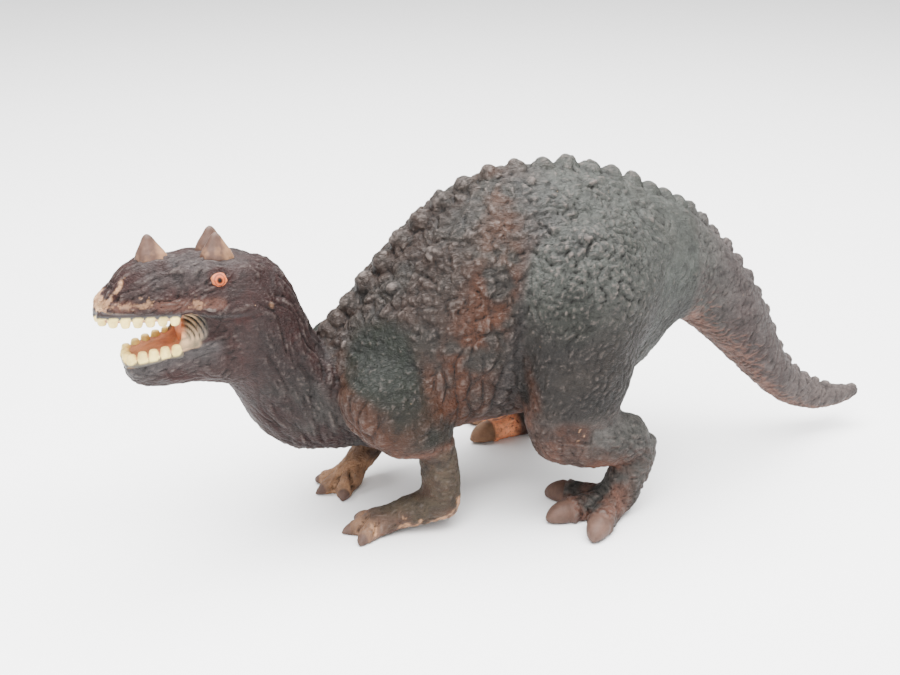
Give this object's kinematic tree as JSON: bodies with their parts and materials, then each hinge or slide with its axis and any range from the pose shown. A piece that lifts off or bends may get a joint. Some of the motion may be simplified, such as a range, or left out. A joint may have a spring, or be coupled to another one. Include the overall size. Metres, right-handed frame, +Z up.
{
  "type": "toy dinosaur figure",
  "caption": "Crouching four-footed toy dinosaur with three small horns, an open toothed jaw, a ridged back and a downswept tail, made of plugged hollow mouldings.",
  "frame": {"origin": "on the floor, below the middle of the bounding box", "axes": "+Z up; the head points to -X and the figure's left side faces -Y; its mid-plane lies at y = -3.6 mm because the turned right foot reaches further out"},
  "size_m": [0.3008, 0.1256, 0.1215],
  "materials": {
    "skin": "satin, painted soft vinyl with moulded scales",
    "horn": "satin",
    "tooth": "semi-gloss",
    "eye": "gloss"
  },
  "bodies": {
    "root": {"torso_shell": "skin", "head_neck_shell": "skin", "tail_shell": "skin", "arm_left": "skin", "arm_right": "skin", "leg_left": "skin", "leg_right": "skin", "nose_horn": "horn", "brow_horn_left": "horn", "brow_horn_right": "horn", "eye_left": "eye", "eye_right": "eye", "upper_teeth": "tooth", "lower_teeth": "tooth"}
  },
  "joints": []
}
